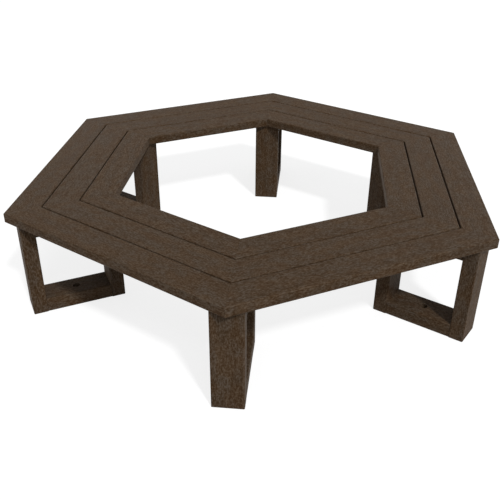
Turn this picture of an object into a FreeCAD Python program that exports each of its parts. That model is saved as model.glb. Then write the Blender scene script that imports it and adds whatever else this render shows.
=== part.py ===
import FreeCAD, Part
import math
import os
import Sketcher

# Hexagonal tree bench. Six rectangular plank frames stand on the corners of a hexagon, and three
# rings of mitred slats lie on them. A tree stands in the opening in the middle.
# Millimetres, +Z up, with the origin on the ground at the middle of the hexagon.
# Corner 1 points along -Y, and the corners and sides count counter-clockwise seen from above.

SIDES = 6
RINGS = ("inner", "middle", "outer")
CORNER_STEP = 360 / SIDES
HALF_STEP = CORNER_STEP / 2
FIRST_CORNER_ANGLE = -90
SCREW_SIDES = 6

# How a sketch names a place: a point of an edge by its number, the X axis, and the origin on that axis.
START, END, CENTRE = 1, 2, 3
X_AXIS = -1
ORIGIN = (X_AXIS, START)

# Driving sizes: name, value in millimetres, meaning.
SIZES = (
    ("seat_height", 450, "ground to the top of the slats"),
    ("opening_across_flats", 1094, "tree opening between opposite inner slats"),
    ("slat_width", 123, "width of each seat slat"),
    ("slat_thickness", 40.5, "thickness of each seat slat"),
    ("slat_gap", 6, "gap between neighbouring rings of slats"),
    ("slat_edge_radius", 4.5, "rounding of the long edges of a slat"),
    ("mitre_gap", 0.3, "gap between two slat ends that meet at a corner"),
    ("frame_width", 118, "width of the frame planks"),
    ("leg_thickness", 58, "thickness of a leg, along the frame"),
    ("rail_thickness", 60, "height of the foot rail and of the top rail"),
    ("frame_edge_radius", 4, "rounding of the long edges of the frame planks"),
    ("outer_setback", 42, "outer corner of the seat to the outer face of the outer leg"),
    ("inner_setback", 12, "inner corner of the seat to the inner face of the inner leg"),
    ("mortise_wall", 20, "material left between a mortise and the leg's far face"),
    ("tenon_shoulder", 20, "step from the rail's side to the tenon's side"),
    ("tenon_thickness", 20, "height of a tenon"),
    ("tenon_clearance", 0.3, "gap all round a tenon in its mortise"),
    ("anchor_hole_diameter", 30, "ground anchor hole through each foot rail"),
    ("screw_shank_width", 6, "shank of a slat screw, across its flats"),
    ("screw_grip", 22, "depth of a slat screw in the slat"),
    ("screw_head_width", 10, "hexagon head of a slat screw, across its flats"),
    ("screw_head_height", 4, "height of the hexagon head"),
    ("screw_clearance", 0.15, "gap round a screw's shank in its hole"),
    ("screw_end_clearance", 3, "gap between a screw's point and the end of its hole"),
    ("screw_row_offset", 30, "frame's centre line to each row of slat screws"),
    ("screw_edge_distance", 28, "edge of a middle slat to its screws, along the frame"),
)

# Sizes that follow from the driving ones, written as expressions for the sketches and features.
LEG_HEIGHT = "(sizes.seat_height - sizes.slat_thickness)"
TOP_RAIL_UNDERSIDE = f"({LEG_HEIGHT} - sizes.rail_thickness)"
INNER_APOTHEM = "(sizes.opening_across_flats / 2)"
SLAT_PITCH = "(sizes.slat_width + sizes.slat_gap)"
OUTER_APOTHEM = f"({INNER_APOTHEM} + {len(RINGS) - 1} * {SLAT_PITCH} + sizes.slat_width)"
INNER_LEG_FACE = f"({INNER_APOTHEM} / cos({HALF_STEP}) + sizes.inner_setback)"
OUTER_LEG_FACE = f"({OUTER_APOTHEM} / cos({HALF_STEP}) - sizes.outer_setback)"
RAIL_START = f"({INNER_LEG_FACE} + sizes.leg_thickness)"
RAIL_END = f"({OUTER_LEG_FACE} - sizes.leg_thickness)"
RAIL_LENGTH = f"({RAIL_END} - {RAIL_START})"
FRAME_MIDDLE = f"(({INNER_LEG_FACE} + {OUTER_LEG_FACE}) / 2)"
MORTISE_DEPTH = "(sizes.leg_thickness - sizes.mortise_wall)"
TENON_LENGTH = f"({MORTISE_DEPTH} - sizes.tenon_clearance)"
TENON_WIDTH = "(sizes.frame_width - 2 * sizes.tenon_shoulder)"
SCREW_HOLE_WIDTH = "(sizes.screw_shank_width + 2 * sizes.screw_clearance)"
SCREW_LENGTH = "(sizes.rail_thickness + sizes.screw_grip)"
PILOT_DEPTH = "(sizes.screw_grip + sizes.screw_end_clearance)"

# Both rails of a frame: name and height of the underside.
RAIL_UNDERSIDES = {"foot": "0", "top": TOP_RAIL_UNDERSIDE}


def slat_start(ring):
    """Apothem of a ring's inner edge."""
    return f"({INNER_APOTHEM} + {RINGS.index(ring)} * {SLAT_PITCH})"


def along_frame(apothem):
    """Distance along the frame at which the row of screws crosses a line of the given apothem."""
    return f"(({apothem} - sizes.screw_row_offset * sin({HALF_STEP})) / cos({HALF_STEP}))"


def screw_distances(ring):
    """Distances along the frame of the screws that hold one end of a slat."""
    inner_edge = along_frame(slat_start(ring))
    outer_edge = along_frame(f"({slat_start(ring)} + sizes.slat_width)")
    if ring == "inner":
        return [f"(({RAIL_START} + {outer_edge}) / 2)"]
    if ring == "outer":
        return [f"(({inner_edge} + {RAIL_END}) / 2)"]
    near = f"({inner_edge} + sizes.screw_edge_distance)"
    far = f"({outer_edge} - sizes.screw_edge_distance)"
    return [near, far]


doc = FreeCAD.newDocument("tree_bench")
sheet = doc.addObject("Spreadsheet::Sheet", "sizes")
for row, (alias, millimetres, meaning) in enumerate(SIZES, start=1):
    sheet.set(f"A{row}", alias)
    sheet.set(f"B{row}", str(millimetres))
    sheet.set(f"C{row}", meaning)
    sheet.setAlias(f"B{row}", alias)
doc.recompute()


def number(expression):
    """The present value of an expression."""
    return float(sheet.evalExpression(expression))


def new_body(label, turn=0):
    """An empty sub-part, turned about the bench's axis."""
    body = doc.addObject("PartDesign::Body", label)
    body.Label = label
    body.Placement = FreeCAD.Placement(FreeCAD.Vector(), FreeCAD.Rotation(FreeCAD.Vector(0, 0, 1), turn))
    return body


def origin_feature(body, role):
    """One of the sub-part's own origin planes or axes."""
    return next(feature for feature in body.Origin.OriginFeatures if feature.Role == role)


def new_sketch(body, name, plane, height="0"):
    """A sketch on an origin plane, moved along the plane's normal by an expression."""
    sketch = body.newObject("Sketcher::SketchObject", f"{body.Name}_{name}")
    sketch.AttachmentSupport = [(origin_feature(body, plane), "")]
    sketch.MapMode = "FlatFace"
    sketch.setExpression("AttachmentOffset.Base.z", height)
    return sketch


def constrain(sketch, kind, *arguments, size):
    """A dimension whose value follows an expression."""
    index = sketch.addConstraint(Sketcher.Constraint(kind, *arguments, number(size)))
    sketch.setExpression(f"Constraints[{index}]", size)


def draw_polygon(sketch, corners):
    """A closed outline through corners, each a pair of expressions."""
    points = [FreeCAD.Vector(number(across), number(up), 0) for across, up in corners]
    sides = len(points)
    for side in range(sides):
        sketch.addGeometry(Part.LineSegment(points[side], points[(side + 1) % sides]))
    for side in range(sides):
        sketch.addConstraint(Sketcher.Constraint("Coincident", side, END, (side + 1) % sides, START))
    for side, (across, up) in enumerate(corners):
        constrain(sketch, "DistanceX", *ORIGIN, side, START, size=across)
        constrain(sketch, "DistanceY", *ORIGIN, side, START, size=up)


def draw_rectangle(sketch, left, right, bottom, top):
    """A rectangle with sharp corners."""
    draw_polygon(sketch, [(left, bottom), (right, bottom), (right, top), (left, top)])


def draw_plank_section(sketch, left, right, bottom, top, radius):
    """A rectangle with rounded corners, the section of an extruded plank."""
    low_x, high_x, low_y, high_y, round_off = (number(size) for size in (left, right, bottom, top, radius))
    centres = (
        (high_x - round_off, low_y + round_off),
        (high_x - round_off, high_y - round_off),
        (low_x + round_off, high_y - round_off),
        (low_x + round_off, low_y + round_off),
    )
    arcs = range(len(centres))
    following = [(arc + 1) % len(arcs) for arc in arcs]
    lines = range(len(arcs), 2 * len(arcs))
    quarter_turn = math.pi / 2
    for arc, (centre_x, centre_y) in enumerate(centres):
        start = quarter_turn * (arc - 1)
        circle = Part.Circle(FreeCAD.Vector(centre_x, centre_y, 0), FreeCAD.Vector(0, 0, 1), round_off)
        sketch.addGeometry(Part.ArcOfCircle(circle, start, start + quarter_turn))
    for arc in arcs:
        from_point = sketch.Geometry[arc].EndPoint
        to_point = sketch.Geometry[following[arc]].StartPoint
        sketch.addGeometry(Part.LineSegment(from_point, to_point))
    for arc, line in zip(arcs, lines):
        sketch.addConstraint(Sketcher.Constraint("Tangent", arc, END, line, START))
        sketch.addConstraint(Sketcher.Constraint("Tangent", line, END, following[arc], START))
    right_side, top_side, left_side, bottom_side = lines
    for line in (right_side, left_side):
        sketch.addConstraint(Sketcher.Constraint("Vertical", line))
    sketch.addConstraint(Sketcher.Constraint("Horizontal", top_side))
    first_arc, *other_arcs = arcs
    for arc in other_arcs:
        sketch.addConstraint(Sketcher.Constraint("Equal", first_arc, arc))
    constrain(sketch, "Radius", first_arc, size=radius)
    constrain(sketch, "DistanceX", *ORIGIN, left_side, START, size=left)
    constrain(sketch, "DistanceX", *ORIGIN, right_side, START, size=right)
    constrain(sketch, "DistanceY", *ORIGIN, bottom_side, START, size=bottom)
    constrain(sketch, "DistanceY", *ORIGIN, top_side, START, size=top)


def draw_circle_on_x(sketch, distance, diameter):
    """A circle with its centre on the X axis."""
    centre = FreeCAD.Vector(number(distance), 0, 0)
    circle = sketch.addGeometry(Part.Circle(centre, FreeCAD.Vector(0, 0, 1), number(diameter) / 2))
    sketch.addConstraint(Sketcher.Constraint("PointOnObject", circle, CENTRE, X_AXIS))
    constrain(sketch, "DistanceX", *ORIGIN, circle, CENTRE, size=distance)
    constrain(sketch, "Diameter", circle, size=diameter)


def extrude(body, kind, name, sketch, length=None, symmetric=False, reverse=False):
    """A pad or a pocket from a sketch. A pocket with no length goes right through."""
    feature = body.newObject(f"PartDesign::{kind}", f"{body.Name}_{name}")
    feature.Profile = sketch
    feature.SideType = "Symmetric" if symmetric else "One side"
    feature.Reversed = reverse
    if length is None:
        feature.Type = "ThroughAll"
    else:
        feature.setExpression("Length", length)
    sketch.Visibility = False
    return feature


def hexagon(body, kind, name, width, height, along="0", across="0", bottom="0"):
    """An upright hexagonal prism, added or cut, with two of its corners in line with the X axis."""
    prism = body.newObject(f"PartDesign::{kind}Prism", f"{body.Name}_{name}")
    prism.AttachmentSupport = [(origin_feature(body, "XY_Plane"), "")]
    prism.MapMode = "FlatFace"
    prism.setExpression("AttachmentOffset.Base.x", along)
    prism.setExpression("AttachmentOffset.Base.y", across)
    prism.setExpression("AttachmentOffset.Base.z", bottom)
    prism.Polygon = SCREW_SIDES
    prism.setExpression("Circumradius", f"{width} / 2 / cos({180 / SCREW_SIDES})")
    prism.setExpression("Height", height)
    return prism


# Seat slats. In a slat's own frame +Y points away from the tree, and X runs along the slat.

def slat_screws(ring):
    """Screw centres in the slat's own frame, at both ends."""
    centres = []
    for distance in screw_distances(ring):
        along = f"({distance} * sin({HALF_STEP}) - sizes.screw_row_offset * cos({HALF_STEP}))"
        across = f"({distance} * cos({HALF_STEP}) + sizes.screw_row_offset * sin({HALF_STEP}))"
        centres += [(f"(-{along})", across), (along, across)]
    return centres


def make_slat(ring, side):
    """One plank, mitred at both ends, with blind holes underneath for the screws."""
    middle_angle = FIRST_CORNER_ANGLE + CORNER_STEP * (side - 0.5)
    body = new_body(f"{ring}_slat_{side}", turn=middle_angle - 90)
    inner_edge = slat_start(ring)
    outer_edge = f"({inner_edge} + sizes.slat_width)"
    blank_length = f"(2 * {outer_edge} * tan({HALF_STEP}))"

    section = new_sketch(body, "section", "YZ_Plane")
    underside, upper_side = LEG_HEIGHT, "sizes.seat_height"
    draw_plank_section(section, inner_edge, outer_edge, underside, upper_side, "sizes.slat_edge_radius")
    extrude(body, "Pad", "plank", section, length=blank_length, symmetric=True)

    cut_start = f"({inner_edge} - sizes.slat_gap)"
    cut_end = f"({outer_edge} + sizes.slat_gap)"
    cut_reach = f"(2 * {outer_edge})"
    end_gap = f"(sizes.mitre_gap / 2 / cos({HALF_STEP}))"
    near_corner = (f"({cut_start} * tan({HALF_STEP}) - {end_gap})", cut_start)
    far_corner = (f"({cut_end} * tan({HALF_STEP}) - {end_gap})", cut_end)
    mitre_outline = new_sketch(body, "mitre_outline", "XY_Plane")
    draw_polygon(mitre_outline, [near_corner, (cut_reach, cut_start), (cut_reach, cut_end), far_corner])
    mitre = extrude(body, "Pocket", "mitre", mitre_outline, symmetric=True)
    other_mitre = body.newObject("PartDesign::Mirrored", f"{body.Name}_other_mitre")
    other_mitre.Originals = [mitre]
    other_mitre.MirrorPlane = (origin_feature(body, "YZ_Plane"), [""])
    body.Tip = other_mitre

    for along, across in slat_screws(ring):
        hexagon(body, "Subtractive", "pilot_hole", SCREW_HOLE_WIDTH, PILOT_DEPTH, along, across, underside)
    return body


# Frames. In a frame plank's own frame +X points away from the tree, and Y runs across the frame.

LEFT_SIDE = "(-sizes.frame_width / 2)"
RIGHT_SIDE = "(sizes.frame_width / 2)"


def frame_turn(corner):
    """Turn that lays a frame plank's +X over the line from the tree to a corner."""
    return FIRST_CORNER_ANGLE + CORNER_STEP * (corner - 1)


def make_leg(place, corner):
    """One upright plank with a mortise for each of the two rails."""
    body = new_body(f"{place}_leg_{corner}", turn=frame_turn(corner))
    if place == "inner":
        near_face, far_face, mouth = INNER_LEG_FACE, RAIL_START, RAIL_START
    else:
        near_face, far_face, mouth = RAIL_END, OUTER_LEG_FACE, RAIL_END
    section = new_sketch(body, "section", "XY_Plane")
    draw_plank_section(section, near_face, far_face, LEFT_SIDE, RIGHT_SIDE, "sizes.frame_edge_radius")
    extrude(body, "Pad", "plank", section, length=LEG_HEIGHT)

    half_width = f"({TENON_WIDTH} / 2 + sizes.tenon_clearance)"
    for rail, underside in RAIL_UNDERSIDES.items():
        low = f"({underside} + (sizes.rail_thickness - sizes.tenon_thickness) / 2 - sizes.tenon_clearance)"
        high = f"({low} + sizes.tenon_thickness + 2 * sizes.tenon_clearance)"
        outline = new_sketch(body, f"{rail}_mortise_outline", "YZ_Plane", height=mouth)
        draw_rectangle(outline, f"(-{half_width})", half_width, low, high)
        extrude(body, "Pocket", f"{rail}_mortise", outline, length=MORTISE_DEPTH, reverse=(place == "outer"))
    return body


def make_rail(rail, corner):
    """One level plank between the legs, with a tenon on each end."""
    body = new_body(f"{rail}_rail_{corner}", turn=frame_turn(corner))
    underside = RAIL_UNDERSIDES[rail]
    upper_side = f"({underside} + sizes.rail_thickness)"
    section = new_sketch(body, "section", "YZ_Plane", height=RAIL_START)
    draw_plank_section(section, LEFT_SIDE, RIGHT_SIDE, underside, upper_side, "sizes.frame_edge_radius")
    extrude(body, "Pad", "plank", section, length=RAIL_LENGTH)

    tenon_low = f"({underside} + (sizes.rail_thickness - sizes.tenon_thickness) / 2)"
    tenon_high = f"({tenon_low} + sizes.tenon_thickness)"
    outline = new_sketch(body, "tenon_outline", "YZ_Plane", height=f"({RAIL_START} - {TENON_LENGTH})")
    draw_rectangle(outline, f"(-{TENON_WIDTH} / 2)", f"({TENON_WIDTH} / 2)", tenon_low, tenon_high)
    extrude(body, "Pad", "tenons", outline, length=f"({RAIL_LENGTH} + 2 * {TENON_LENGTH})")
    return body


def make_foot_rail(corner):
    """The lower rail, with the hole for the ground anchor at its middle."""
    body = make_rail("foot", corner)
    outline = new_sketch(body, "anchor_outline", "XY_Plane")
    draw_circle_on_x(outline, FRAME_MIDDLE, "sizes.anchor_hole_diameter")
    extrude(body, "Pocket", "anchor_hole", outline, symmetric=True)
    return body


def rail_screws():
    """Screw centres in a frame plank's own frame: one row for each of the two sides that meet there."""
    distances = [distance for ring in RINGS for distance in screw_distances(ring)]
    return [(distance, f"({row} * sizes.screw_row_offset)") for row in (-1, 1) for distance in distances]


def make_top_rail(corner):
    """The upper rail, with two rows of holes for the slat screws."""
    body = make_rail("top", corner)
    underside, depth = RAIL_UNDERSIDES["top"], "sizes.rail_thickness"
    for along, across in rail_screws():
        hexagon(body, "Subtractive", "screw_hole", SCREW_HOLE_WIDTH, depth, along, across, underside)
    return body


# Slat screws. They are drawn plain, with six flats in place of the round and threaded shank, and so are
# their holes. A screw's own frame has its origin where the head meets the rail, and the point is up.

def make_screw_pattern():
    """One hexagon-head screw, copied to every place."""
    body = new_body("slat_screw_pattern")
    hexagon(body, "Additive", "shank", "sizes.screw_shank_width", SCREW_LENGTH)
    head_bottom = "(-sizes.screw_head_height)"
    hexagon(body, "Additive", "head", "sizes.screw_head_width", "sizes.screw_head_height", bottom=head_bottom)
    return body


def make_screws(pattern):
    """All slat screws as one group of separate solids."""
    copies = []
    lift = number(TOP_RAIL_UNDERSIDE)
    for corner in range(1, SIDES + 1):
        turn = FreeCAD.Rotation(FreeCAD.Vector(0, 0, 1), frame_turn(corner))
        for along, across in rail_screws():
            seat = turn.multVec(FreeCAD.Vector(number(along), number(across), lift))
            screw = pattern.Shape.copy()
            screw.Placement = FreeCAD.Placement(seat, turn)
            copies.append(screw)
    group = doc.addObject("Part::Feature", "slat_screws")
    group.Label = "slat_screws"
    group.Shape = Part.makeCompound(copies)
    group.Placement = FreeCAD.Placement()
    return group


nodes = []
for number_of_place in range(1, SIDES + 1):
    nodes += [make_slat(ring, number_of_place) for ring in RINGS]
    nodes += [make_leg(place, number_of_place) for place in ("inner", "outer")]
    nodes += [make_foot_rail(number_of_place), make_top_rail(number_of_place)]
screw_pattern = make_screw_pattern()
doc.recompute()
nodes.append(make_screws(screw_pattern))
doc.recompute()

for item in doc.Objects:
    if "Invalid" in item.State or "Error" in item.State:
        raise RuntimeError(f"{item.Label} failed to build: {item.State}")
    cuts = item.TypeId in ("PartDesign::Pocket", "PartDesign::SubtractivePrism")
    if cuts and item.Shape.Volume >= item.BaseFeature.Shape.Volume:
        raise RuntimeError(f"{item.Label} cuts nothing")
for node in nodes:
    if node.Shape.isNull() or not node.Shape.isValid():
        raise RuntimeError(f"{node.Label} has no valid shape")

os.makedirs("parts", exist_ok=True)
for node in nodes:
    node.Shape.exportStep(f"parts/{node.Label}.step")
    print(node.Label, len(node.Shape.Solids), round(node.Shape.Volume))
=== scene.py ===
import math

import bmesh
import bpy
from mathutils import Matrix, Vector


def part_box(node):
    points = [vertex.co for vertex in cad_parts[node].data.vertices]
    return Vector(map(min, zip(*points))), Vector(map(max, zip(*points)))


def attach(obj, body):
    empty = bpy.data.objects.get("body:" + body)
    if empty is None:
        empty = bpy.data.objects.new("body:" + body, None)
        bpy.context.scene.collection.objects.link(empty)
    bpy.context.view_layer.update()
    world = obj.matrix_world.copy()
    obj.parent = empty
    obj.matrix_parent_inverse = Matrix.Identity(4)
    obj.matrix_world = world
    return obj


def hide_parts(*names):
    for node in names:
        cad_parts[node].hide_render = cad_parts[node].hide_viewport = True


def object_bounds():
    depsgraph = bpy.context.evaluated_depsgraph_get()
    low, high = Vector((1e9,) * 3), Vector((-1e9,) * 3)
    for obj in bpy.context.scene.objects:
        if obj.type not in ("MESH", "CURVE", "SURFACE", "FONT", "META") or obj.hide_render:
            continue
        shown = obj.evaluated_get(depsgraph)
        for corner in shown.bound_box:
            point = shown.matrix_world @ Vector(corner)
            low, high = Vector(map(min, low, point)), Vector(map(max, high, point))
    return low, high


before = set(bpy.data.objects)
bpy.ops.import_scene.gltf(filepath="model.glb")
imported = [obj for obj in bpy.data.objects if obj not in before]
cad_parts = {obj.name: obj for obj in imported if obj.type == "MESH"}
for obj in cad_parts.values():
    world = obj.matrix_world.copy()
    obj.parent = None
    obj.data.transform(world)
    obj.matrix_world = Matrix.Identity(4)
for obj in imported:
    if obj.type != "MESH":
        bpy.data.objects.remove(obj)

# The bench: six sides between six corners. Corner 1 points to -Y and corners count counter-clockwise.
SIDES = 6
STEP = math.tau / SIDES
FIRST_CORNER = -math.pi / 2
UP = Vector((0.0, 0.0, 1.0))

# The colours of the moulded planks, as linear red, green and blue, and the tints that multiply them.
PLANK_DARK = (0.0389, 0.0199, 0.0079)
PLANK_BROWN = (0.0642, 0.0400, 0.0228)
PLANK_PALE = (0.0952, 0.0683, 0.0478)
FLECK_PALE = (0.1556, 0.1180, 0.0830)
WORN_EDGE = (0.1084, 0.0800, 0.0568)
SAWN_END = (0.0802, 0.0560, 0.0371)
WARM_TINT = (1.040, 0.995, 0.930)
COOL_TINT = (0.960, 1.005, 1.070)

# The noises of the planks: the grains per metre along a plank, across it and through it, and then how much
# finer detail each has and how strong that is.
STREAKS = ((2.4, 42.0, 42.0), 3.0, 0.6)
THREADS = ((60.0, 230.0, 230.0), 2.0, 0.5)
MOTTLING = ((130.0, 190.0, 190.0), 2.0, 0.6)
SKIN = ((420.0, 700.0, 700.0), 2.0, 0.6)
BANDS = ((8.0, 24.0, 24.0), 1.0, 0.5)
PATCHES = ((24.0, 34.0, 34.0), 0.0, 0.5)
RUBBING = ((14.0, 60.0, 60.0), 3.0, 0.65)
SAWN_CORE = ((300.0, 300.0, 300.0), 2.0, 0.7)

# Each plank is cut from the plastic at its own place, this far on from the plank before it.
PLANK_SHIFT = Vector((0.731, 0.417, 0.253))

# The tone of the plastic: the share of each noise in it, the sum that gives the middle brown, and how far
# below and above that the darkest and the palest brown lie.
STREAK_SHARE = 0.17
THREAD_SHARE = 0.33
MOTTLE_SHARE = 0.44
PATCH_SHARE = 0.06
SKIN_SHARE = 0.14
TONE_MIDDLE = 0.57
TONE_REACH = 0.12
DARK_HALF = (0.0, 0.5)
PALE_HALF = (0.5, 1.0)

# The tint: the weights of the bands and the patches, and the sums at which it is fully warm and fully cool.
BAND_TINT = 0.6
PATCH_TINT = 0.4
TINT_RANGE = (0.36, 0.64)

# The flecks and pits: the cells that they lie in, how far from a cell's middle a spot ends and is full, which
# cells have one, how strong the threads are where flecks show, and the flecks' part in the colour.
FLECK_GRAIN = (95.0, 380.0, 380.0)
SPOT_RANGE = (0.60, 0.10)
FLECK_CHANCE = (0.60, 1.0)
PIT_CHANCE = (0.08, 0.03)
FLECK_THREADS = (0.35, 0.65)
FLECK_SHARE = 0.55

# The wear: where the rubbing noise shows, how far round a long edge is worn and how pale, where the noise of
# the core shows, and how far a surface faces along the plank where it is a sawn end.
RUB_RANGE = (0.35, 0.7)
EDGE_RANGE = (0.08, 0.55)
EDGE_SHARE = 0.25
CORE_RANGE = (0.3, 0.7)
SAWN_RANGE = (0.25, 0.40)

# The planks' skin: the roughness from weak to strong streaks and what mottling and worn edges add to it, the
# weights of the noises in its relief, the strength of the relief and its depth in metres.
PLANK_SPECULAR = 0.06
STREAK_RANGE = (0.3, 0.7)
PLANK_ROUGHNESS = (0.56, 0.68)
MOTTLE_ROUGHNESS = 0.10
EDGE_ROUGHNESS = -0.10
THREAD_HEIGHT = 0.12
SKIN_HEIGHT = 0.35
MOTTLE_HEIGHT = 0.20
PIT_HEIGHT = -1.2
PLANK_BUMP = 0.5
PLANK_RELIEF = 0.0006

# A slat screw: a hexagon head with a round flange, a plain shank through the rail and a thread in the slat.
SCREW_SEGMENTS = 24
HEAD_SIDES = 6
HEAD_WIDTH = 0.0100
HEAD_CHAMFER = 0.0006
FLANGE_RADIUS = 0.0068
FLANGE_EDGE = 0.0008
FLANGE_RISE = 0.0014
SHANK_RADIUS = 0.0030
THREAD_LENGTH = 0.0220
THREAD_TURNS = 7
THREAD_DEPTH = 0.0009
RINGS_PER_TURN = 4
POINT_LENGTH = 0.0040
POINT_RADIUS = 0.0003
SHARP_ANGLE = math.radians(35.0)

# The frame's plain screws: how close their corners are to be one, and to how many digits their places sort.
SAME_CORNER = 1e-6
PLACE_DIGITS = 4

# The zinc-plated steel of the screws, with its dull patches and fine scratches.
ZINC_BRIGHT = (0.56, 0.57, 0.58)
ZINC_DULL = (0.34, 0.35, 0.36)
ZINC_PATCHES = ((260.0, 260.0, 260.0), 3.0, 0.6)
ZINC_SCRATCHES = ((300.0, 2400.0, 300.0), 2.0, 0.5)
DULL_RANGE = (0.35, 0.7)
ROUGH_RANGE = (0.3, 0.7)
ZINC_ROUGHNESS = (0.28, 0.5)
SCRATCH_HEIGHT = 1.0
DULL_HEIGHT = 0.4
ZINC_BUMP = 0.25
ZINC_RELIEF = 0.0001

# The floor: to the eye it glows near white and keeps the shadow, and to all other light it is a pale grey.
FLOOR_RADIUS = 40.0
FLOOR_SEGMENTS = 96
FLOOR_DROP = 0.0002
FLOOR_CLOUDS = ((3.0, 3.0, 3.0), 3.0, 0.5)
FLOOR_TONES = ((0.30, 0.30, 0.30), (0.32, 0.32, 0.32))
FLOOR_GLOW = 0.80
FLOOR_GREY = (0.60, 0.60, 0.60, 1.0)

# The lamps: the key lamp's azimuth off +X and height over the horizon, its apparent size and its strength,
# and for each soft panel its azimuth and height in degrees and its power in watts.
KEY_DIRECTION = (math.radians(-58.0), math.radians(47.0))
KEY_ANGLE = math.radians(5.0)
KEY_STRENGTH = 1.97
PANEL_DISTANCE = 7.0
PANEL_SIZE = (2.4, 1.6)
PANELS = {
    "front_panel": (-90.0, 45.0, 48.0),
    "overhead_panel": (0.0, 89.0, 27.0),
    "left_panel": (180.0, 8.0, 57.0),
    "right_front_panel": (-40.0, 8.0, 26.0),
    "right_back_panel": (60.0, 15.0, 37.0),
    "left_back_panel": (120.0, 15.0, 25.0),
}

# The sky: its colour and strength as a light, and the white that is seen directly.
SKY_COLOR = (0.96, 0.98, 1.0, 1.0)
SKY_STRENGTH = 0.26
WHITE = (1.0, 1.0, 1.0, 1.0)
WHITE_STRENGTH = 1.0

# The camera: its place in metres, its heading and its tilt below the horizon, its lens and its shift.
CAMERA_PLACE = (0.2402, -2.8030, 1.6744)
CAMERA_HEADING = math.radians(6.20)
CAMERA_TILT = math.radians(30.93)
CAMERA_LENS = 50.03
CAMERA_SHIFT = (0.0169, 0.0167)

cad_low, cad_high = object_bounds()
bench_middle = (cad_low + cad_high) / 2
rail_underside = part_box("top_rail_1")[0].z
head_height = rail_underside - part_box("slat_screws")[0].z


def add_node(tree, kind, sockets=None, **settings):
    """A shader node with its settings. Each named socket is set to a value or wired to another's output."""
    made = tree.nodes.new("ShaderNode" + kind)
    for name, value in settings.items():
        setattr(made, name, value)
    for name, value in (sockets or {}).items():
        if isinstance(value, bpy.types.NodeSocket):
            tree.links.new(value, made.inputs[name])
        else:
            made.inputs[name].default_value = value
    return made


def math_node(tree, operation, first, second=0.0, third=0.0):
    """The output of a math node with up to three operands."""
    return add_node(tree, "Math", {0: first, 1: second, 2: third}, operation=operation).outputs[0]


def weighted_sum(tree, parts):
    """The sum of values, each given with its weight."""
    total = 0.0
    for value, weight in parts:
        total = math_node(tree, "MULTIPLY_ADD", value, weight, total)
    return total


def product(tree, first, second):
    """The product of two vectors or two colours, part by part."""
    return add_node(tree, "VectorMath", {0: first, 1: second}, operation="MULTIPLY").outputs[0]


def noise_node(tree, vector, grain, detail, roughness):
    """The grey value of a noise with a number of grains per metre along each axis of the vector."""
    sockets = {"Vector": product(tree, vector, grain), "Scale": 1.0, "Detail": detail, "Roughness": roughness}
    return add_node(tree, "TexNoise", sockets).outputs["Fac"]


def smooth_range(tree, value, low, high, to_low=0.0, to_high=1.0):
    """The value taken from one range to another with smooth ends."""
    sockets = {"Value": value, "From Min": low, "From Max": high, "To Min": to_low, "To Max": to_high}
    return add_node(tree, "MapRange", sockets, interpolation_type="SMOOTHSTEP").outputs["Result"]


def mix_color(tree, factor, first, second):
    """The first colour turned into the second one by the factor."""
    mix = add_node(tree, "Mix", data_type="RGBA")
    ends = {"Factor_Float": factor, "A_Color": first, "B_Color": second}
    for socket in mix.inputs:
        value = ends.get(socket.identifier)
        if value is None:
            continue
        if isinstance(value, bpy.types.NodeSocket):
            tree.links.new(value, socket)
        else:
            socket.default_value = (*value, 1.0) if isinstance(value, tuple) else value
    return next(socket for socket in mix.outputs if socket.identifier == "Result_Color")


def new_tree(name):
    """A material with an empty node tree."""
    material = bpy.data.materials.new(name)
    material.use_nodes = True
    material.node_tree.nodes.clear()
    return material, material.node_tree


def finish_surface(tree, height, strength, depth, sockets):
    """The shader of a solid surface with the height as its fine relief, as the tree's output."""
    bump = add_node(tree, "Bump", {"Height": height, "Strength": strength, "Distance": depth})
    surface = add_node(tree, "BsdfPrincipled", {"Normal": bump.outputs["Normal"], **sockets})
    add_node(tree, "OutputMaterial", {"Surface": surface.outputs["BSDF"]})


def new_object(name, shape):
    """An object in the scene with the given shape as its mesh."""
    mesh = bpy.data.meshes.new(name)
    shape.to_mesh(mesh)
    shape.free()
    made = bpy.data.objects.new(name, mesh)
    bpy.context.scene.collection.objects.link(made)
    return made


def corner_direction(number):
    """The level direction from the middle to a corner. Half numbers are the middles of the sides."""
    angle = FIRST_CORNER + STEP * (number - 1)
    return Vector((math.cos(angle), math.sin(angle), 0.0))


def plank_axes(kind, number):
    """The directions along a plank, across its width and through its thickness."""
    if kind.endswith("slat"):
        along, through = UP.cross(corner_direction(number + 0.5)), UP
    elif kind.endswith("leg"):
        along, through = UP, corner_direction(number)
    else:
        along, through = corner_direction(number), UP
    return along, through.cross(along), through


def plank_space(tree, kind, number, count):
    """A plank's own coordinates, on its own cut of the plastic, and how far it faces along each axis."""
    turn = Matrix(plank_axes(kind, number)).to_euler()
    place = add_node(tree, "TexCoord").outputs
    sockets = {"Vector": place["Object"], "Rotation": turn, "Location": PLANK_SHIFT * count}
    grain = add_node(tree, "Mapping", sockets).outputs["Vector"]
    facing = add_node(tree, "Mapping", {"Vector": place["Normal"], "Rotation": turn}, vector_type="NORMAL")
    facing = add_node(tree, "VectorMath", {0: facing.outputs["Vector"]}, operation="ABSOLUTE").outputs[0]
    return grain, add_node(tree, "SeparateXYZ", {"Vector": facing}).outputs


def plank_color(tree, grain, patches, tone):
    """Dark to pale brown after the tone, with bands and patches a little warmer or cooler than the rest."""
    color = mix_color(tree, smooth_range(tree, tone, *DARK_HALF), PLANK_DARK, PLANK_BROWN)
    color = mix_color(tree, smooth_range(tree, tone, *PALE_HALF), color, PLANK_PALE)
    cold = weighted_sum(tree, [(noise_node(tree, grain, *BANDS), BAND_TINT), (patches, PATCH_TINT)])
    tint = mix_color(tree, smooth_range(tree, cold, *TINT_RANGE), WARM_TINT, COOL_TINT)
    return product(tree, color, tint)


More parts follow.
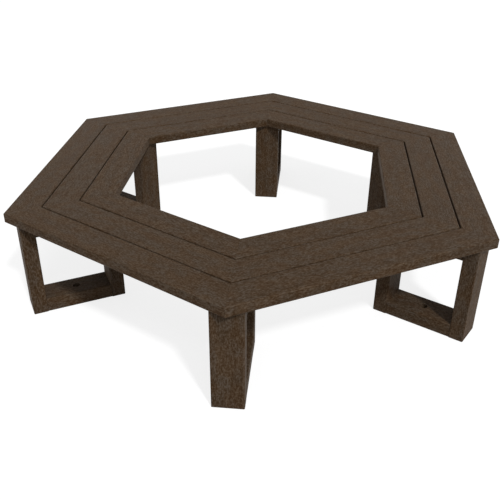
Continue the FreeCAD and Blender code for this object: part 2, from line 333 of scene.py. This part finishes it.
def plank_flecks(tree, grain, threads):
    """Long pale flecks where the threads are strong, and a few pits."""
    cells = add_node(tree, "TexVoronoi", {"Vector": product(tree, grain, FLECK_GRAIN), "Scale": 1.0})
    chance = add_node(tree, "SeparateColor", {"Color": cells.outputs["Color"]}).outputs
    spot = smooth_range(tree, cells.outputs["Distance"], *SPOT_RANGE)
    flecks = math_node(tree, "MULTIPLY", smooth_range(tree, chance["Red"], *FLECK_CHANCE), spot)
    flecks = math_node(tree, "MULTIPLY", flecks, smooth_range(tree, threads, *FLECK_THREADS))
    pits = math_node(tree, "MULTIPLY", smooth_range(tree, chance["Green"], *PIT_CHANCE), spot)
    return math_node(tree, "MULTIPLY", flecks, FLECK_SHARE), pits


def plank_wear(tree, grain, facing):
    """How far the rounded long edges are rubbed pale, and how far the sawn ends show their core."""
    rubbed = smooth_range(tree, noise_node(tree, grain, *RUBBING), *RUB_RANGE)
    edge = smooth_range(tree, math_node(tree, "MINIMUM", facing["Y"], facing["Z"]), *EDGE_RANGE)
    core = smooth_range(tree, noise_node(tree, grain, *SAWN_CORE), *CORE_RANGE)
    sawn = smooth_range(tree, facing["X"], *SAWN_RANGE)
    return math_node(tree, "MULTIPLY", edge, rubbed), math_node(tree, "MULTIPLY", sawn, core)


def plank_material(kind, number, count):
    """Brown recycled plastic with streaks, threads and mottling along the plank."""
    material, tree = new_tree(f"recycled_plastic_{kind}_{number}")
    grain, facing = plank_space(tree, kind, number, count)
    streaks = noise_node(tree, grain, *STREAKS)
    threads = noise_node(tree, grain, *THREADS)
    mottling = noise_node(tree, grain, *MOTTLING)
    patches = noise_node(tree, grain, *PATCHES)
    skin = noise_node(tree, grain, *SKIN)
    flecks, pits = plank_flecks(tree, grain, threads)
    edge, sawn = plank_wear(tree, grain, facing)

    shares = [(streaks, STREAK_SHARE), (threads, THREAD_SHARE), (mottling, MOTTLE_SHARE)]
    shares += [(patches, PATCH_SHARE), (skin, SKIN_SHARE)]
    tone = weighted_sum(tree, shares)
    tone = smooth_range(tree, tone, TONE_MIDDLE - TONE_REACH, TONE_MIDDLE + TONE_REACH)
    color = plank_color(tree, grain, patches, tone)
    color = mix_color(tree, flecks, color, FLECK_PALE)
    color = mix_color(tree, math_node(tree, "MULTIPLY", edge, EDGE_SHARE), color, WORN_EDGE)
    color = mix_color(tree, sawn, color, SAWN_END)

    rough = smooth_range(tree, streaks, *STREAK_RANGE, *PLANK_ROUGHNESS)
    added = weighted_sum(tree, [(mottling, MOTTLE_ROUGHNESS), (edge, EDGE_ROUGHNESS)])
    rough = math_node(tree, "ADD", rough, added)
    heights = [(threads, THREAD_HEIGHT), (skin, SKIN_HEIGHT), (mottling, MOTTLE_HEIGHT), (pits, PIT_HEIGHT)]
    sockets = {"Base Color": color, "Roughness": rough, "Specular IOR Level": PLANK_SPECULAR}
    finish_surface(tree, weighted_sum(tree, heights), PLANK_BUMP, PLANK_RELIEF, sockets)
    return material


def dress_planks():
    """Each plank of the frame gets its own cut of the recycled plastic."""
    for count, (name, piece) in enumerate(sorted(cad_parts.items())):
        kind, _, number = name.rpartition("_")
        if not number.isdigit():
            continue
        piece.data.materials.clear()
        piece.data.materials.append(plank_material(kind, int(number), count))


def screw_material():
    """Zinc-plated steel with dull patches and fine scratches."""
    material, tree = new_tree("zinc_plated_steel")
    place = add_node(tree, "TexCoord").outputs["Object"]
    patches = noise_node(tree, place, *ZINC_PATCHES)
    scratches = noise_node(tree, place, *ZINC_SCRATCHES)
    color = mix_color(tree, smooth_range(tree, patches, *DULL_RANGE), ZINC_BRIGHT, ZINC_DULL)
    rough = smooth_range(tree, patches, *ROUGH_RANGE, *ZINC_ROUGHNESS)
    height = weighted_sum(tree, [(scratches, SCRATCH_HEIGHT), (patches, DULL_HEIGHT)])
    sockets = {"Base Color": color, "Roughness": rough, "Metallic": 1.0}
    finish_surface(tree, height, ZINC_BUMP, ZINC_RELIEF, sockets)
    return material


def screw_boxes():
    """The lowest and highest corner of each screw solid of the frame."""
    shape = bmesh.new()
    shape.from_mesh(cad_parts["slat_screws"].data)
    bmesh.ops.remove_doubles(shape, verts=shape.verts, dist=SAME_CORNER)
    waiting = set(shape.verts)
    boxes = []
    while waiting:
        front = [waiting.pop()]
        corners = []
        while front:
            corner = front.pop()
            corners.append(corner.co.copy())
            fresh = {edge.other_vert(corner) for edge in corner.link_edges} & waiting
            waiting -= fresh
            front.extend(fresh)
        low = Vector(min(place[axis] for place in corners) for axis in range(3))
        high = Vector(max(place[axis] for place in corners) for axis in range(3))
        boxes.append((low, high))
    shape.free()
    return sorted(boxes, key=lambda box: (round(box[0].x, PLACE_DIGITS), round(box[0].y, PLACE_DIGITS)))


def segment_angles():
    """The angles of a screw's segments about its axis."""
    return [math.tau * segment / SCREW_SEGMENTS for segment in range(SCREW_SEGMENTS)]


def circle_ring(radius):
    """A round section: one radius for every segment."""
    return [radius] * SCREW_SEGMENTS


def hexagon_ring(width, heading):
    """A hexagonal section of a width across its flats, with a corner in the heading."""
    flat = math.tau / HEAD_SIDES
    return [width / 2 / math.cos((angle - heading) % flat - flat / 2) for angle in segment_angles()]


def thread_ring(turns):
    """A section of the thread after a number of turns: the radius falls and rises once round the shank."""
    phases = [(turns - angle / math.tau) % 1.0 for angle in segment_angles()]
    return [SHANK_RADIUS - THREAD_DEPTH * abs(2.0 * phase - 1.0) for phase in phases]


def screw_rings(low, high, heading):
    """The sections of a screw from its head up to its point: each a height and a radius for every segment."""
    seat = low + head_height
    thread_start = high - POINT_LENGTH - THREAD_LENGTH
    rings = [
        (low, hexagon_ring(HEAD_WIDTH - 2 * HEAD_CHAMFER, heading)),
        (low + HEAD_CHAMFER, hexagon_ring(HEAD_WIDTH, heading)),
        (seat - FLANGE_RISE, hexagon_ring(HEAD_WIDTH, heading)),
        (seat - FLANGE_EDGE, circle_ring(FLANGE_RADIUS)),
        (seat, circle_ring(FLANGE_RADIUS)),
        (seat, circle_ring(SHANK_RADIUS)),
        (thread_start, circle_ring(SHANK_RADIUS)),
    ]
    count = THREAD_TURNS * RINGS_PER_TURN
    for index in range(1, count + 1):
        rings.append((thread_start + THREAD_LENGTH * index / count, thread_ring(index / RINGS_PER_TURN)))
    rings.append((high, circle_ring(POINT_RADIUS)))
    return rings


def add_screw(shape, low, high):
    """One closed screw, added to the shape in place of a plain one."""
    middle = (low + high) / 2
    loops = []
    for height, radii in screw_rings(low.z, high.z, math.atan2(middle.y, middle.x)):
        loop = []
        for angle, radius in zip(segment_angles(), radii):
            place = (middle.x + radius * math.cos(angle), middle.y + radius * math.sin(angle), height)
            loop.append(shape.verts.new(place))
        loops.append(loop)
    for lower, upper in zip(loops, loops[1:]):
        for segment in range(SCREW_SEGMENTS):
            after = (segment + 1) % SCREW_SEGMENTS
            shape.faces.new((lower[segment], lower[after], upper[after], upper[segment]))
    shape.faces.new(reversed(loops[0]))
    shape.faces.new(loops[-1])


def build_screws():
    """The screws that hold the slats from below, at the places of the frame's plain ones."""
    shape = bmesh.new()
    for low, high in screw_boxes():
        add_screw(shape, low, high)
    screws = new_object("slat_screws_threaded", shape)
    for face in screws.data.polygons:
        face.use_smooth = True
    screws.data.set_sharp_from_angle(angle=SHARP_ANGLE)
    screws.data.materials.append(screw_material())
    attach(screws, "root")
    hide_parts("slat_screws")


def seen_directly(tree):
    """One where a surface is seen by the camera, in a reflection or through glass, and nought elsewhere."""
    path = add_node(tree, "LightPath").outputs
    seen = math_node(tree, "MAXIMUM", path["Is Camera Ray"], path["Is Glossy Ray"])
    return math_node(tree, "MAXIMUM", seen, path["Is Transmission Ray"])


def floor_material():
    """A pale floor that is near white to the eye and keeps the soft shadow of the bench."""
    material, tree = new_tree("pale_floor")
    clouds = noise_node(tree, add_node(tree, "TexCoord").outputs["Object"], *FLOOR_CLOUDS)
    shaded = add_node(tree, "BsdfDiffuse", {"Color": mix_color(tree, clouds, *FLOOR_TONES)})
    glow = add_node(tree, "Emission", {"Color": WHITE, "Strength": FLOOR_GLOW})
    white = add_node(tree, "AddShader", {0: shaded.outputs[0], 1: glow.outputs[0]})
    plain = add_node(tree, "BsdfDiffuse", {"Color": FLOOR_GREY})
    surface = add_node(tree, "MixShader", {0: seen_directly(tree), 1: plain.outputs[0], 2: white.outputs[0]})
    add_node(tree, "OutputMaterial", {"Surface": surface.outputs[0]})
    return material


def add_floor():
    """A wide round floor under the bench."""
    shape = bmesh.new()
    bmesh.ops.create_circle(shape, cap_ends=True, segments=FLOOR_SEGMENTS, radius=FLOOR_RADIUS)
    floor = new_object("floor", shape)
    floor.location.z = cad_low.z - FLOOR_DROP
    floor.data.materials.append(floor_material())


def towards(azimuth, height):
    """The direction from the bench to a lamp, from its azimuth off +X and its height over the horizon."""
    level = math.cos(height)
    return Vector((level * math.cos(azimuth), level * math.sin(azimuth), math.sin(height)))


def add_lamp(name, kind, direction):
    """A lamp out from the bench's middle in a direction, turned to it."""
    lamp = bpy.data.lights.new(name, kind)
    holder = bpy.data.objects.new(name, lamp)
    bpy.context.scene.collection.objects.link(holder)
    holder.location = bench_middle + direction * PANEL_DISTANCE
    holder.rotation_euler = (-direction).to_track_quat("-Z", "Y").to_euler()
    return lamp


def add_lamps():
    """A key lamp at the front right, and soft panels above and round the bench."""
    key = add_lamp("key_lamp", "SUN", towards(*KEY_DIRECTION))
    key.angle = KEY_ANGLE
    key.energy = KEY_STRENGTH
    for name, (azimuth, height, power) in PANELS.items():
        panel = add_lamp(name, "AREA", towards(math.radians(azimuth), math.radians(height)))
        panel.shape = "RECTANGLE"
        panel.size, panel.size_y = PANEL_SIZE
        panel.energy = power


def add_sky():
    """An even sky that is white where it is seen by the camera, in a reflection or through glass."""
    world = bpy.data.worlds.new("studio")
    bpy.context.scene.world = world
    world.use_nodes = True
    tree = world.node_tree
    tree.nodes.clear()
    sky = add_node(tree, "Background", {"Color": SKY_COLOR, "Strength": SKY_STRENGTH})
    white = add_node(tree, "Background", {"Color": WHITE, "Strength": WHITE_STRENGTH})
    surface = add_node(tree, "MixShader", {0: seen_directly(tree), 1: sky.outputs[0], 2: white.outputs[0]})
    add_node(tree, "OutputWorld", {"Surface": surface.outputs[0]})


def add_camera():
    """The camera where the photograph was taken from."""
    lens = bpy.data.cameras.new("camera")
    lens.lens = CAMERA_LENS
    lens.shift_x, lens.shift_y = CAMERA_SHIFT
    camera = bpy.data.objects.new("camera", lens)
    bpy.context.scene.collection.objects.link(camera)
    camera.location = CAMERA_PLACE
    camera.rotation_euler = (math.pi / 2 - CAMERA_TILT, 0.0, CAMERA_HEADING)
    bpy.context.scene.camera = camera


dress_planks()
build_screws()
add_floor()
add_lamps()
add_sky()
add_camera()
bpy.context.scene.view_settings.view_transform = "Standard"
